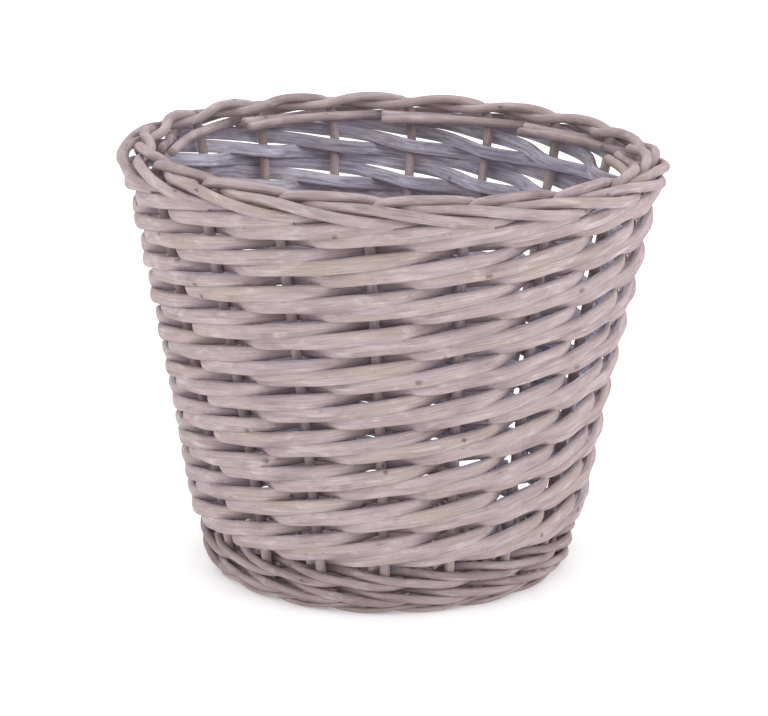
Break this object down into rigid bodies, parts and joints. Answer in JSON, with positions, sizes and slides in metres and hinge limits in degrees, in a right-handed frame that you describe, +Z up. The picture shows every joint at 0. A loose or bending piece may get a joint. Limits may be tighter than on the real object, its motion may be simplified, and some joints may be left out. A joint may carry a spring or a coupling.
{
  "type": "wicker log basket",
  "caption": "Round flared willow basket with an open top, a climbing weave and a rolled rod border, for holding logs beside a hearth.",
  "frame": {"origin": "middle of the base, on the floor the basket stands on", "axes": "+Z up through the open mouth; -Y is the front; the rods climb anticlockwise seen from above"},
  "size_m": [0.4032, 0.4016, 0.321],
  "materials": {
    "stake_willow": "whole round willow rods, grey washed, matt",
    "split_willow": "split willow, grey-washed bark side outward and blue-grey pith side inward, matt",
    "base_willow": "thin willow rods, grey washed, matt"
  },
  "bodies": {
    "root": {"base_binding_rod": "base_willow", "base_stick_1": "base_willow", "base_stick_2": "base_willow", "base_stick_3": "base_willow", "base_stick_4": "base_willow", "base_stick_5": "base_willow", "base_stick_6": "base_willow", "base_stick_7": "base_willow", "base_stick_8": "base_willow", "base_stick_9": "base_willow", "base_weaver_1": "base_willow", "base_weaver_2": "base_willow", "foot_rod_1": "base_willow", "foot_rod_2": "base_willow", "stake_01": "stake_willow", "stake_02": "stake_willow", "stake_03": "stake_willow", "stake_04": "stake_willow", "stake_05": "stake_willow", "stake_06": "stake_willow", "stake_07": "stake_willow", "stake_08": "stake_willow", "stake_09": "stake_willow", "stake_10": "stake_willow", "stake_11": "stake_willow", "stake_12": "stake_willow", "stake_13": "stake_willow", "stake_14": "stake_willow", "stake_15": "stake_willow", "stake_16": "stake_willow", "stake_17": "stake_willow", "stake_18": "stake_willow", "upsett_rod_1": "base_willow", "upsett_rod_2": "base_willow", "upsett_rod_3": "base_willow", "weaver_01": "split_willow", "weaver_02": "split_willow", "weaver_03": "split_willow", "weaver_04": "split_willow", "weaver_05": "split_willow", "weaver_06": "split_willow", "weaver_07": "split_willow", "weaver_08": "split_willow", "weaver_09": "split_willow", "weaver_10": "split_willow", "weaver_11": "split_willow", "weaver_12": "split_willow", "weaver_13": "split_willow", "weaver_14": "split_willow", "weaver_15": "split_willow", "weaver_16": "split_willow", "weaver_17": "split_willow", "weaver_18": "split_willow"}
  },
  "joints": []
}
